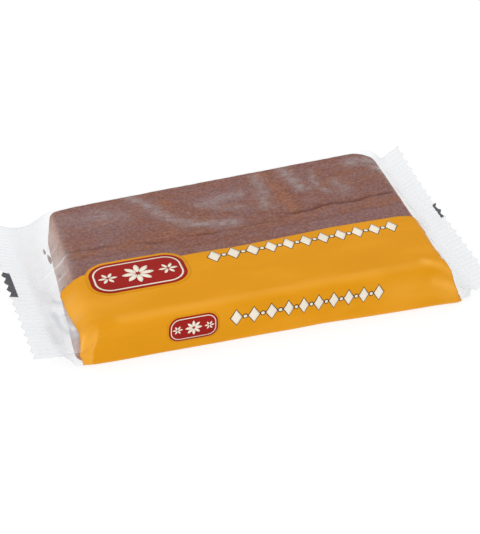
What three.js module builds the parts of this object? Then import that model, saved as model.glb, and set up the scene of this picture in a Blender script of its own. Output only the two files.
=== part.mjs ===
// A filled spiced biscuit, one long baked slab, sealed in a flow-wrapped bag of clear film.
// Millimetres. +X runs along the pack to its right end, +Y to its back, +Z up.
// The shapes are worked out about the middle of the slab's base, and the finished pack is then
// moved so that its origin is the middle of the base of its bounding box.
import * as THREE from 'three';
import { mergeVertices } from 'three/addons/utils/BufferGeometryUtils.js';

const { clamp, lerp, smoothstep } = THREE.MathUtils;

// The wrapped slab, which is baked a little wider and higher at its right end.
const slabLength = 170;
const slabLeft = { front: -52.5, back: 53, top: 19.2 };
const slabRight = { front: -57, back: 59, top: 20.8 };
const slabCrown = 0.5;
const topRadius = 2;
const baseRadius = 1.2;

// The sealed end fins: flat, crimped into ribs along the pack, and cut into teeth.
const sealDepth = 12;
const finThickness = 0.6;
const ribHeight = 0.25;
const teethPerFin = 19;
const toothDepth = 2.4;
const toothRoot = 1;        // whole film between the teeth and the next row of points
const columnsPerTooth = 4;

// Each end reaches its own way out, and its film is pulled to its own edges and heights, because
// the ends were sealed unevenly. The skew is how much further the back corner reaches than the
// front one. The necks are where the film closes in, between the slab and the seals.
const ends = {
  left: {
    side: -1, reach: 117.5, skew: 4, neckFront: -50, neckBack: 56, cutFront: -48, cutBack: 65,
    heightFront: 7, heightBack: 11, cornerCurl: 0, pleatHeight: 1,
  },
  right: {
    side: 1, reach: 109.5, skew: 3, neckFront: -54, neckBack: 59, cutFront: -50, cutBack: 67,
    heightFront: 5, heightBack: 9.5, cornerCurl: 5, pleatHeight: 0.6,
  },
};
const curlStart = 0.6;      // share of the fin's width at which its back corner begins to curl up
const sinkPower = 1.2;      // above 1, the upper film arches out from the slab before it sinks
const liftPower = 2.2;      // above 1, the lower film stays near the ground next to the slab
const pleatPitch = 17;
const pleatSway = 1.6;

// The grid of points that the bag is bent from.
const columns = teethPerFin * columnsPerTooth;
const rowShares = [0, 0.15, 0.85, 1];
const neckShares = [0, 0.1, 0.3, 0.55, 0.8, 1];
const halfLength = slabLength / 2;

// The bag's back seam, folded flat under the slab, shows as a groove along each of its edges.
const seamColumns = [35, 43];
const seamGroove = 0.5;

const endAt = (station) => (station < 0 ? ends.left : ends.right);

// How far a station has gone from the slab's end (0) to the seal's inner line (1).
function neckShare(end, station) {
  return clamp((end.side * station - halfLength) / (end.reach - sealDepth - halfLength), 0, 1);
}

// How far a station has gone across the seal, from its inner line (0) to the cut (1).
function sealShare(end, station) {
  return clamp((end.side * station - (end.reach - sealDepth)) / sealDepth, 0, 1);
}

// The slab's outline under the film, between its left and its right end.
function slabSection(station) {
  const share = clamp((station + halfLength) / slabLength, 0, 1);
  return {
    front: lerp(slabLeft.front, slabRight.front, share),
    back: lerp(slabLeft.back, slabRight.back, share),
    top: lerp(slabLeft.top, slabRight.top, share),
  };
}

// The film's front and back edges: along the slab, in over the neck, and out to the cut.
function filmEdges(station) {
  const slab = slabSection(station);
  const end = endAt(station);
  const neck = neckShare(end, station);
  const seal = sealShare(end, station);
  return {
    front: lerp(lerp(slab.front, end.neckFront, neck), end.cutFront, seal),
    back: lerp(lerp(slab.back, end.neckBack, neck), end.cutBack, seal),
  };
}

// The middle height of a fin, at a share of its width from front (0) to back (1).
function finHeight(end, across) {
  const curl = Math.max(0, (across - curlStart) / (1 - curlStart)) ** 2;
  return lerp(end.heightFront, end.heightBack, across) + end.cornerCurl * curl;
}

// The ribs that the crimping jaws press into a fin, one up and one down in turn.
function ribOffset(end, station, column) {
  const pressed = smoothstep(sealShare(end, station), 0, 0.1);
  return (column % 2 === 0 ? ribHeight : -ribHeight) * pressed;
}

// The creases that fan over a neck, deepest halfway between the slab and the seal.
function pleatOffset(end, station, y) {
  const depth = end.pleatHeight * Math.sin(Math.PI * neckShare(end, station));
  return depth * Math.sin((2 * Math.PI * y) / pleatPitch + pleatSway * Math.sin(y / pleatPitch));
}

// How far the film drops where it turns over the slab's upper end edge.
function endEdgeDrop(end, station) {
  const past = clamp(end.side * station - (halfLength - topRadius), 0, topRadius);
  const arc = topRadius - Math.sqrt(topRadius ** 2 - past ** 2);
  return 0.5 * arc * (1 - neckShare(end, station));
}

// The bag's lower and upper face at one column of a station.
function filmHeights(station, column, edges) {
  const end = endAt(station);
  const neck = neckShare(end, station);
  const across = column / columns;
  const crown = slabCrown * (1 - (2 * across - 1) ** 2);
  const onSlab = slabSection(station).top + crown - endEdgeDrop(end, station);
  const fin = finHeight(end, across) + ribOffset(end, station, column);
  const pleat = pleatOffset(end, station, lerp(edges.front, edges.back, across));
  const onGround = seamColumns.includes(column) ? seamGroove : 0;
  return {
    lower: lerp(onGround, fin - finThickness / 2, neck ** liftPower) + Math.max(0, pleat) / 2,
    upper: lerp(onSlab, fin + finThickness / 2, neck ** sinkPower) + pleat,
  };
}

// Rounds the corners of a station's cross-section.
function roundedSection(y, z, edges, heights) {
  const { lower, upper } = heights;
  const wanted = z > (lower + upper) / 2 ? topRadius : baseRadius;
  const radius = Math.min(wanted, (upper - lower) / 2);
  const inner = new THREE.Vector2(
    clamp(y, edges.front + radius, edges.back - radius),
    clamp(z, lower + radius, upper - radius),
  );
  const outward = new THREE.Vector2(y, z).sub(inner);
  return inner.add(outward.clampLength(0, radius));
}

// How far the cut stands back from the tips of its teeth, at a column of the grid.
function toothNotch(column) {
  const phase = (column % columnsPerTooth) / columnsPerTooth;
  return toothDepth * (1 - Math.abs(2 * phase - 1));
}

// The stations of one end, from the slab's edge out to the cut.
function endStations(end) {
  const inner = end.reach - sealDepth;
  return [
    halfLength - topRadius,
    halfLength - 0.3 * topRadius,
    ...neckShares.map((share) => lerp(halfLength, inner, share)),
    inner + 1,
    end.reach - toothDepth - toothRoot,
    end.reach,
  ].map((distance) => end.side * distance);
}

// One closed bag: a box grid with a sheet of points at each station, bent into the pack's form.
function bagGeometry() {
  const middle = [-halfLength / 3, halfLength / 3];
  const stations = [...endStations(ends.left).reverse(), ...middle, ...endStations(ends.right)];
  const steps = stations.length - 1;
  const rows = rowShares.length - 1;
  const grid = new THREE.BoxGeometry(steps, columns, rows, steps, columns, rows);
  const points = grid.attributes.position;
  for (let index = 0; index < points.count; index += 1) {
    const step = Math.round(points.getX(index) + steps / 2);
    const column = Math.round(points.getY(index) + columns / 2);
    const row = Math.round(points.getZ(index) + rows / 2);
    const station = stations[step];
    const end = endAt(station);
    const edges = filmEdges(station);
    const flatY = lerp(edges.front, edges.back, column / columns);
    const heights = filmHeights(station, column, edges);
    const flatZ = lerp(heights.lower, heights.upper, rowShares[row]);
    const section = roundedSection(flatY, flatZ, edges, heights);
    const skew = end.skew * (column / columns - 0.5) * neckShare(end, station);
    const notch = step === 0 || step === steps ? toothNotch(column) : 0;
    points.setXYZ(index, station + end.side * (skew - notch), section.x, section.y);
  }
  grid.deleteAttribute('normal');
  grid.deleteAttribute('uv');
  const closed = mergeVertices(grid);
  closed.computeVertexNormals();
  return closed;
}

// Clear glossy film over the brown slab.
const film = new THREE.MeshStandardMaterial({ color: 0xb98a6a, roughness: 0.25, metalness: 0 });
const bag = new THREE.Mesh(bagGeometry(), film);
bag.name = 'wrapped_biscuit';

bag.geometry.computeBoundingBox();
const base = bag.geometry.boundingBox.getCenter(new THREE.Vector3());
base.z = bag.geometry.boundingBox.min.z;
bag.position.copy(base.negate());

const pack = new THREE.Group();
pack.add(bag);

export default pack;
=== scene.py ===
"""A filled spiced biscuit, one long baked slab, sealed in a flow-wrapped bag of printed clear film.

The shapes are worked out in metres about the middle of the slab's base, and each finished mesh is
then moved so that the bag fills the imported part's box.
"""
import math
from collections import namedtuple

import bmesh
import bpy
import numpy as np
from bpy.props import FloatProperty, FloatVectorProperty, IntProperty, PointerProperty
from mathutils import Matrix, Vector, noise


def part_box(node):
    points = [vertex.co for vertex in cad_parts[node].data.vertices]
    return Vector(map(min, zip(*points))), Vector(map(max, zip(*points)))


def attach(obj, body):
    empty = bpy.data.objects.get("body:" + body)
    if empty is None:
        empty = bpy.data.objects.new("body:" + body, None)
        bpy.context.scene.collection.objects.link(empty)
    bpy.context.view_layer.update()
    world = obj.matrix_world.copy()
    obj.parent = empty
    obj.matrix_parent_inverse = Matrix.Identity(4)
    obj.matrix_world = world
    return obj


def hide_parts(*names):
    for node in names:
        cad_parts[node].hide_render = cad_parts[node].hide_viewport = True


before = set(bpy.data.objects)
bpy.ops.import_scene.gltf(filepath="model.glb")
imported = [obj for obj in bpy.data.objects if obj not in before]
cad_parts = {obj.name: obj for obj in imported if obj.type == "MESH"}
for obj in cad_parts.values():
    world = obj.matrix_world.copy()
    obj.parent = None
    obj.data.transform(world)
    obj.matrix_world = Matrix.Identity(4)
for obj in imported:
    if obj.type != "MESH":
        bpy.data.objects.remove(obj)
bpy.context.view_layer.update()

bl_info = {
    "name": "Wrapped spiced biscuit",
    "version": (1, 0, 0),
    "blender": (4, 5, 0),
    "location": "View3D > Sidebar > Biscuit",
    "description": "Builds a filled spiced biscuit in its sealed and printed film bag",
    "category": "Add Mesh",
}

MM = 0.001
NODE = "wrapped_biscuit"
BODY = "root"

Section = namedtuple("Section", "front back top")
End = namedtuple(
    "End",
    "side edge_front edge_back foot_front foot_back reach skew neck_front neck_back cut_front "
    "cut_back height_front height_back corner_curl",
)
HighlightFacet = namedtuple("HighlightFacet", "strength edge crispness fade top top_fade")
Badge = namedtuple("Badge", "middle size")
Row = namedtuple("Row", "start count pitch height round_at")


def metres(kind, sizes, **others):
    """A named tuple of sizes, which are given in millimetres, and of other values."""
    return kind(**{name: size * MM for name, size in sizes.items()}, **others)


# The wrapped slab, which is baked a little wider and higher at its right end.
SLAB_LENGTH = 170 * MM
SLAB_LEFT = metres(Section, {"front": -52.5, "back": 53, "top": 19.2})
SLAB_RIGHT = metres(Section, {"front": -57, "back": 59, "top": 20.8})

# The slab's and the bag's ends. The slab's upper edge stands so far out at its front and back
# corner, and its foot that much further. The skew is how much further the back corner of a fin
# reaches than its front one.
SEAL_DEPTH = 12 * MM
LEFT = metres(
    End,
    {
        "edge_front": 91.5, "edge_back": 87, "foot_front": 6, "foot_back": 2.5,
        "reach": 117.5, "skew": 4, "neck_front": -50, "neck_back": 56, "cut_front": -48,
        "cut_back": 65, "height_front": 6, "height_back": 11, "corner_curl": 0,
    },
    side=-1,
)
RIGHT = metres(
    End,
    {
        "edge_front": 79, "edge_back": 89.6, "foot_front": 7.6, "foot_back": 3,
        "reach": 109.5, "skew": 3, "neck_front": -56, "neck_back": 59, "cut_front": -53,
        "cut_back": 67, "height_front": 2.2, "height_back": 9.5, "corner_curl": 5,
    },
    side=1,
)
FRONT_FOOT = 4 * MM         # how far the front's foot stands out at the right end
FRONT_FOOT_FROM = 10 * MM   # where along the slab the foot begins to stand out
CURL_START = 0.6            # share of a fin's width at which its back corner begins to curl up
FIN_GAP = 0.3 * MM          # between the middles of the fin's two layers of film
TEETH = 19
TOOTH_ROOT = 1 * MM

# The film's grid, round the bag and along it.
COLUMNS_PER_TOOTH = 8
COLUMNS = TEETH * COLUMNS_PER_TOOTH     # from the front's middle over the slab to the back's
RING = 2 * COLUMNS
CLOTH_COLUMNS = COLUMNS // 2
GIRTH_EASE = 0.986          # the film's girth over that of a slab with sharp edges
NECK_EASE = 1.04            # the film's length over a neck, against the straight way
SEAM = (0.46, 0.56)         # shares of the slab's width between which the back seam lies under it
SEAM_THICKNESS = 0.35 * MM
CALMING = 7                 # how often the necks' folds are evened out with the film next to them
CALM_FROM_EDGE = 0.06       # share of the film's width that keeps its folded edges
# At the foot of each neck's front the film folds back or out: its station, half the length of the
# fold, and how far forward it is drawn.
FOOT_FOLDS = ((-91 * MM, 3.5 * MM, -1.5 * MM), (91.5 * MM, 5 * MM, 5.5 * MM))
FOOT_FOLD_GIRTH = -8 * MM
FOOT_FOLD_WIDTH = 8 * MM
CLOTH_SCALE = 10            # the cloth solver is made for things some metres long

MIDDLE = Vector((
    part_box(NODE)[0].x + LEFT.reach + LEFT.skew / 2,
    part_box(NODE)[0].y - SLAB_RIGHT.front,
    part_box(NODE)[0].z,
))

made = {}                   # the film's grid, once it is made, for what lies on it or clings to it


def srgb(red, green, blue):
    """A colour from its values of 0 to 255 on a screen."""
    def straight(value):
        value /= 255
        return value / 12.92 if value <= 0.04045 else ((value + 0.055) / 1.055) ** 2.4
    return (straight(red), straight(green), straight(blue), 1.0)


def length_setting(name, description, millimetres):
    """A setting for a length."""
    return FloatProperty(
        name=name, description=description, default=millimetres * MM, unit="LENGTH",
    )


def colour_setting(name, description, value):
    """A setting for a colour."""
    return FloatVectorProperty(
        name=name, description=description, default=value, subtype="COLOR", size=4,
    )


class BiscuitSettings(bpy.types.PropertyGroup):
    front_edge: length_setting("Front edge", "Rounding of the slab's long edges at its front", 4.5)
    back_edge: length_setting("Back edge", "Rounding of the slab's long edges at its back", 1.8)
    end_edge: length_setting("End edge", "Rounding of the slab's edges at its ends", 3.2)
    crown: length_setting("Crown", "How much higher the slab's top is halfway to its back", 0.4)
    corner_radius: length_setting("Corner radius", "Rounding of the slab's upright corners", 3)
    worn_corner: length_setting("Worn corner", "Rounding of the back right corner", 11)
    pressed_corner: length_setting("Pressed corner", "Rounding of the front left corner", 9)
    underside: length_setting("Underside", "Height of the slab's base over the ground", 0.6)
    clearance: length_setting("Clearance", "How far the slab stays inside the film", 0.1)
    unevenness: length_setting("Unevenness", "Height of the baked dough's bumps", 0.3)
    crack_depth: length_setting("Crack depth", "Depth of the long crack in the crust", 1.1)
    crust: colour_setting("Crust", "Colour of the baked crust", srgb(136, 86, 71))
    moist: colour_setting("Moist crust", "Colour where the film clings to the dough", srgb(152, 95, 67))
    # The dull colour is used for pale blots of dough and for a painted reflection where the film hangs
    # off it.
    dull: colour_setting("Dull crust", "Colour where the dough is dry and pale", srgb(136, 98, 95))
    # The deep colour is painted shade in the crack and along the crease, and the dough's own dark grain
    # and specks.
    deep: colour_setting("Deep crust", "Colour in the cracks and pits", srgb(88, 46, 36))
    side: colour_setting("Ends", "Colour of the slab's paler end faces", srgb(206, 156, 128))


class FilmSettings(bpy.types.PropertyGroup):
    rib_height: length_setting("Rib height", "Height of the crimped ribs in the fins", 0.25)
    tooth_depth: length_setting("Tooth depth", "Depth of the teeth that the fins are cut with", 1.7)
    frames: IntProperty(
        name="Frames", description="Steps of the simulation that folds the film", default=15,
    )
    tint: colour_setting("Tint", "What one layer of film lets through", (0.972, 0.978, 0.985, 1.0))
    milk: colour_setting("Milk", "Colour of the film's haze", (0.74, 0.75, 0.77, 1.0))
    # The shade colour is painted shade in the film's deep folds.
    shade: colour_setting("Shade", "Colour of the film in its deep folds", (0.42, 0.44, 0.5, 1.0))


class PrintSettings(bpy.types.PropertyGroup):
    gold: colour_setting("Gold", "Colour of the printed band", srgb(226, 152, 20))
    # The sheen colour is a painted highlight where the band catches the light.
    sheen: colour_setting("Sheen", "Colour of the band where it catches the light", srgb(252, 186, 82))
    red: colour_setting("Red", "Colour of the badges", srgb(160, 32, 28))
    cream: colour_setting("Cream", "Colour of the lines and ornaments", srgb(246, 236, 218))
    dark: colour_setting("Dark", "Colour of the ornaments' edges", srgb(92, 52, 18))
    grey: colour_setting("Grey", "Colour of the marks on the fins", srgb(104, 104, 110))
    lozenge_height: length_setting("Lozenge height", "Height of a lozenge in the upper row", 9.2)
    lozenge_pitch: length_setting("Lozenge pitch", "Distance between lozenges in the upper row", 9)


class StageSettings(bpy.types.PropertyGroup):
    azimuth: FloatProperty(
        name="Azimuth", description="How far the camera stands round to the left",
        default=math.radians(-18.48), subtype="ANGLE",
    )
    elevation: FloatProperty(
        name="Elevation", description="How steeply the camera looks down",
        default=math.radians(33.62), subtype="ANGLE",
    )
    place: FloatVectorProperty(
        name="Place", description="Where the camera stands, from the middle of the slab's base",
        default=(-172.5 * MM, -504.9 * MM, 354.9 * MM), subtype="TRANSLATION",
    )
    lens: FloatProperty(
        name="Lens", description="Focal length in millimetres", default=87.64,
    )
    sky: FloatProperty(
        name="Sky", description="Strength of the even studio light", default=0.72,
    )
    softbox: FloatProperty(
        name="Softbox", description="Power of the large lamp overhead", default=3.1, unit="POWER",
    )
    fill: FloatProperty(
        name="Fill", description="Power of the lamp in front", default=1.4, unit="POWER",
    )


class PackSettings(bpy.types.PropertyGroup):
    biscuit: PointerProperty(type=BiscuitSettings)
    film: PointerProperty(type=FilmSettings)
    print: PointerProperty(type=PrintSettings)
    stage: PointerProperty(type=StageSettings)


# Shapes that the pieces share.


def lerp(first, second, share):
    return first + (second - first) * share


def smooth(value, low, high):
    """From 0 at low to 1 at high, level at both."""
    share = np.clip((value - low) / (high - low), 0, 1)
    return share * share * (3 - 2 * share)


def along_line(points, at):
    """The values at places of a line through points in millimetres."""
    places, values = np.array(points).T * MM
    return np.interp(at, places, values)


def blurred(values, times):
    """A grid's values, evened out with their neighbours'."""
    for _ in range(times):
        values = (np.roll(values, 1, 1) + values + np.roll(values, -1, 1)) / 3
        values[1:-1] = (values[:-2] + values[1:-1] + values[2:]) / 3
    return values


def spots(along, across, listed):
    """How much places lie in the listed soft ovals: middle, half lengths and strength."""
    total = np.zeros_like(along)
    for middle, level, long, wide, strength in listed:
        away = ((along / MM - middle) / long) ** 2 + ((across / MM - level) / wide) ** 2
        total += strength * np.exp(-away)
    return total


def strokes(along, across, listed):
    """How much places lie in the listed soft strokes: strength, half width and points."""
    total = np.zeros_like(along)
    for strength, wide, points in listed:
        track = np.array(points, float) * MM
        nearest = np.full_like(along, 1.0)
        for start, stop in zip(track[:-1], track[1:]):
            way = stop - start
            share = ((along - start[0]) * way[0] + (across - start[1]) * way[1]) / way.dot(way)
            share = np.clip(share, 0, 1)
            off_x = along - start[0] - share * way[0]
            nearest = np.minimum(nearest, np.hypot(off_x, across - start[1] - share * way[1]))
        total += strength * np.exp(-((nearest / (wide * MM)) ** 2))
    return total


def darker(colour, share):
    """A colour with its brightness cut to a share."""
    return tuple(value * share for value in colour[:3]) + (1,)


def slab_section(station):
    """The slab's outline under the film at a station along it."""
    share = np.clip(station / SLAB_LENGTH + 0.5, 0, 1)
    return Section(*(lerp(left, right, share) for left, right in zip(SLAB_LEFT, SLAB_RIGHT)))


def half_girth(station):
    """The film's way from halfway up the slab's front over the slab to halfway down its back."""
    slab = slab_section(station)
    return slab.back - slab.front + slab.top


def end_at(station):
    return LEFT if station < 0 else RIGHT


def neck_share(end, station):
    """How far a station has gone from the slab's end (0) to the seal's inner line (1)."""
    half = SLAB_LENGTH / 2
    return float(np.clip((abs(station) - half) / (end.reach - SEAL_DEPTH - half), 0, 1))


def seal_share(end, station):
    """How far a station has gone across the seal, from its inner line (0) to the cut (1)."""
    return float(np.clip((abs(station) - end.reach) / SEAL_DEPTH + 1, 0, 1))


def at_stations(rule, stations):
    """A rule's value for the end and the station, at each of the stations, as one column."""
    return np.array([rule(end_at(station), station) for station in stations])[:, None]


def reach_out(end, station, across):
    """How far out a station of the film lies, at shares of its width from front to back."""
    neck = neck_share(end, station)
    edge = lerp(end.edge_front, end.edge_back, across)
    inner = end.reach - SEAL_DEPTH + end.skew * (across - 0.5)
    over_slab = min(1, abs(station) / (SLAB_LENGTH / 2)) * edge
    return over_slab + (inner - edge) * neck + SEAL_DEPTH * seal_share(end, station)


def foot_out(end, station, across, rise):
    """How much further out the film lies at a share of the slab's height, to go round its foot."""
    foot = lerp(end.foot_front, end.foot_back, across) * (1 - rise)
    near_end = min(1, abs(station) / (SLAB_LENGTH / 2)) ** 4
    return foot * near_end * (1 - neck_share(end, station))


def foot_forward(station, across, rise):
    """How much further forward the slab's front stands towards its foot, near the right end."""
    near_end = smooth(station, FRONT_FOOT_FROM, SLAB_LENGTH / 2)
    return FRONT_FOOT * near_end * (1 - rise) * (1 - across) ** 6


def slab_point(along, across, up, inset, underside):
    """A place in the slab, at shares from its middle to its ends, of its width and its height."""
    end = end_at(along)
    slab = slab_section(along * SLAB_LENGTH / 2)
    edge = lerp(end.edge_front, end.edge_back, across)
    edge += lerp(end.foot_front, end.foot_back, across) * (1 - up)
    x = along * (edge - inset)
    y = lerp(slab.front + inset, slab.back - inset, across)
    y -= foot_forward(along * SLAB_LENGTH / 2, across, up)
    return Vector((x, y, lerp(underside, slab.top - inset, up)))


def fin_height(end, across):
    """The middle height of a fin, at shares of its width from front (0) to back (1)."""
    curl = np.maximum(0, (across - CURL_START) / (1 - CURL_START)) ** 2
    return lerp(end.height_front, end.height_back, across) + end.corner_curl * curl


def outline_over(share, slab, radius):
    """Points over the slab's section, at shares of the way from its front to its back."""
    height = slab.top
    width = slab.back - slab.front
    way = share * (width + height)
    y = slab.front + np.clip(way - height / 2, 0, width)
    z = height / 2 + np.clip(way, 0, height / 2) - np.clip(way - height / 2 - width, 0, height / 2)
    inner_y = np.clip(y, slab.front + radius, slab.back - radius)
    inner_z = np.minimum(z, height - radius)
    out = np.hypot(y - inner_y, z - inner_z)
    pull = np.where(out > radius, radius / np.maximum(out, 1e-9), 1)
    return inner_y + (y - inner_y) * pull, inner_z + (z - inner_z) * pull


FILM_EDGE = 2 * MM          # rounding of the film over the slab's edges, as it is laid
FILM_OFF_SLAB = 0.3 * MM    # how far off the slab the film is laid before it settles
PLEATS = (
    # height, distance from one pleat to the next, phase
    (1.1 * MM, 17 * MM, 0.0),
    (0.5 * MM, 7.3 * MM, 1.0),
)
PLEAT_SWAY = 1.6            # how unevenly the pleats are spread, in radians
PLEAT_SWAY_LENGTH = 17 * MM
FLOOR_GAP = 0.05 * MM       # between the ground and the film's lowest points
SINK_POWER = 1.3            # above 1, the upper film arches out from the slab before it sinks
LIFT_POWER = 2.6            # above 1, the lower film stays near the ground next to the slab


def pleats(neck, y):
    """The creases that fan over a neck, deepest halfway between the slab and the seal."""
    waves = sum(
        height * np.sin(math.tau * y / pitch + phase + PLEAT_SWAY * np.sin(y / PLEAT_SWAY_LENGTH))
        for height, pitch, phase in PLEATS
    )
    return waves * math.sin(math.pi * neck)


def round_ring(upper, lower):
    """A ring's values: over the slab from front to back, then under it back to the front."""
    return np.concatenate([upper, lower[-2:0:-1]])


def closed_round(values):
    """The same grid with its first column again at its end."""
    return np.concatenate([values, values[:, :1]], 1)


def ring_shares(station, columns):
    """Where each point of a ring lies, at shares of the slab's width and of its height."""
    slab = slab_section(station)
    across = np.arange(columns + 1) / columns
    rise = outline_over(across, slab, FILM_EDGE)[1] / slab.top
    return round_ring(across, across), round_ring(rise, 1 - rise)


def film_ring(station, columns):
    """The film at a station, as it is laid before it settles: over the slab and back under it."""
    end = end_at(station)
    neck = neck_share(end, station)
    seal = seal_share(end, station)
    slab = slab_section(station)
    loose = Section(slab.front - FILM_OFF_SLAB, slab.back + FILM_OFF_SLAB, slab.top + FILM_OFF_SLAB)
    across = np.arange(columns + 1) / columns
    front = lerp(end.neck_front, end.cut_front, seal)
    back = lerp(end.neck_back, end.cut_back, seal)
    over_y, over_z = outline_over(across, loose, FILM_EDGE)
    fin_y = lerp(front, back, across)
    fin_z = fin_height(end, across)
    y = lerp(over_y, fin_y, neck)
    layer = FIN_GAP / 2 * (np.minimum(across, 1 - across) > 0)
    upper = lerp(over_z, fin_z + layer, neck ** SINK_POWER) + pleats(neck, y)
    lower = lerp(loose.top - over_z, fin_z - layer, neck ** LIFT_POWER)
    lower = lower + np.maximum(0, pleats(neck, y)) / 2
    upper[[0, -1]] = (upper[[0, -1]] + lower[[0, -1]]) / 2
    round_across, rise = ring_shares(station, columns)
    x = reach_out(end, station, round_across) + foot_out(end, station, round_across, rise)
    forward = foot_forward(station, round_across, rise) * (1 - neck)
    return np.stack([end.side * x, round_ring(y, y) - forward, round_ring(upper, lower)], 1)


def film_way(station, across):
    """How far along the flat film a station lies from the middle of the slab."""
    end = end_at(station)
    edge = lerp(end.edge_front, end.edge_back, across)
    inner = end.reach - SEAL_DEPTH + end.skew * (across - 0.5)
    neck_length = np.hypot(inner - edge, SLAB_LEFT.top - fin_height(end, across)) * NECK_EASE
    over_slab = min(1, abs(station) / (SLAB_LENGTH / 2)) * edge
    over_neck = neck_share(end, station) * neck_length
    return end.side * (over_slab + over_neck + seal_share(end, station) * SEAL_DEPTH)


def rest_ring(station, columns):
    """The same ring of film as part of an even tube, which gives the cloth its true size."""
    radius = 2 * half_girth(station) * GIRTH_EASE / math.tau
    turn = math.pi * np.arange(2 * columns) / columns
    end = end_at(station)
    across, rise = ring_shares(station, columns)
    way = film_way(station, across) + end.side * foot_out(end, station, across, rise)
    return np.stack([way, -radius * np.cos(turn), radius * np.sin(turn)], 1)


def stations_along(seal, left_neck, slab, right_neck, cut_rows):
    """The stations of a grid, with so many rows in each stretch from the left cut to the right."""
    half = SLAB_LENGTH / 2
    root = TOOTH_ROOT + bpy.context.scene.biscuit_pack.film.tooth_depth
    stretches = (
        (-LEFT.reach, root - LEFT.reach, cut_rows),
        (root - LEFT.reach, SEAL_DEPTH - LEFT.reach, seal),
        (SEAL_DEPTH - LEFT.reach, -half, left_neck),
        (-half, half, slab),
        (half, RIGHT.reach - SEAL_DEPTH, right_neck),
        (RIGHT.reach - SEAL_DEPTH, RIGHT.reach - root, seal),
        (RIGHT.reach - root, RIGHT.reach, cut_rows),
    )
    rows = [np.linspace(start, stop, count, endpoint=False) for start, stop, count in stretches]
    return np.concatenate(rows + [[RIGHT.reach]])


def between_rows(grid, rows):
    """A grid's rows at fractional row numbers, on a smooth curve through its own rows."""
    low = np.clip(np.floor(rows).astype(int), 0, len(grid) - 2)
    share = (rows - low)[:, None, None]
    before, first, second, after = (
        grid[np.clip(low + step, 0, len(grid) - 1)] for step in (-1, 0, 1, 2)
    )
    bend = 2 * before - 5 * first + 4 * second - after
    twist = 3 * first - before - 3 * second + after
    return first + 0.5 * share * (second - before + share * (bend + share * twist))


def finer(rings, stations, new_stations, columns):
    """The same rings at other stations and with another number of columns."""
    rows = np.interp(new_stations, stations, np.arange(len(stations)))
    rings = between_rows(rings, rows)
    turned = rings.transpose(1, 0, 2)
    count = len(turned)
    wrapped = np.concatenate([turned[-1:], turned, turned[:3]])
    at = 1 + np.arange(2 * columns) * count / (2 * columns)
    return between_rows(wrapped, at).transpose(1, 0, 2)


def mesh_of(name, bm):
    mesh = bpy.data.meshes.new(name)
    bm.to_mesh(mesh)
    bm.free()
    return mesh


def note_layers(bm, layers):
    """Gives each vertex its values, as attributes that the finishes read."""
    for name, values in layers.items():
        slot = bm.verts.layers.float.new(name)
        for vert, value in zip(bm.verts, values):
            vert[slot] = float(value)


def note_ways(bm, ways):
    """Gives each vertex its place on the flat film, as a UV map that the finishes read."""
    bm.verts.index_update()
    flat = bm.loops.layers.uv.new("flat")
    for face in bm.faces:
        for loop in face.loops:
            loop[flat].uv = ways[loop.vert.index]


def sheet(name, points, layers, ways=None):
    """A mesh with a vertex at each of points[row, column], welded where its edges meet."""
    rows, columns = points.shape[:2]
    bm = bmesh.new()
    bmesh.ops.create_grid(bm, x_segments=rows - 1, y_segments=columns - 1, size=0.5)
    cells = [
        (round((vert.co.x + 0.5) * (rows - 1)), round((vert.co.y + 0.5) * (columns - 1)))
        for vert in bm.verts
    ]
    note_layers(bm, {layer: [grid[cell] for cell in cells] for layer, grid in layers.items()})
    if ways is not None:
        note_ways(bm, [ways[cell] for cell in cells])
    for vert, cell in zip(bm.verts, cells):
        vert.co = points[cell]
    bmesh.ops.remove_doubles(bm, verts=bm.verts, dist=1e-3 * MM)
    return mesh_of(name, bm)


def link(name, mesh):
    thing = bpy.data.objects.new(name, mesh)
    bpy.context.scene.collection.objects.link(thing)
    return thing


def finish_piece(name, mesh, finish):
    """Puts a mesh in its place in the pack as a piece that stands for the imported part."""
    mesh.transform(Matrix.Translation(MIDDLE))
    mesh.materials.append(finish)
    mesh.polygons.foreach_set("use_smooth", [True] * len(mesh.polygons))
    mesh.update()
    piece = link(name, mesh)
    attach(piece, BODY)
    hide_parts(NODE)


# The film's settling.

FILM_CLOTH = {
    "mass": 0.2, "tension_stiffness": 40, "compression_stiffness": 40, "shear_stiffness": 15,
    "bending_stiffness": 0.05, "tension_damping": 10, "compression_damping": 10,
    "shear_damping": 10, "bending_damping": 0.5, "air_damping": 2, "quality": 6,
}
FILM_WEIGHT = 0.4           # share of true gravity, which draws the film down onto the slab
COLLIDER_STEP = 2.2 * MM


def slab_collider(biscuit):
    """What the film settles on: a plain slab of the biscuit's size."""
    bm = slab_bmesh(biscuit, COLLIDER_STEP, 0)
    bmesh.ops.scale(bm, verts=bm.verts, vec=(CLOTH_SCALE, CLOTH_SCALE, CLOTH_SCALE))
    return mesh_of("slab_collider", bm)


def ground_collider():
    bm = bmesh.new()
    bmesh.ops.create_grid(bm, x_segments=1, y_segments=1, size=0.3 * CLOTH_SCALE)
    return mesh_of("ground_collider", bm)


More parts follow.
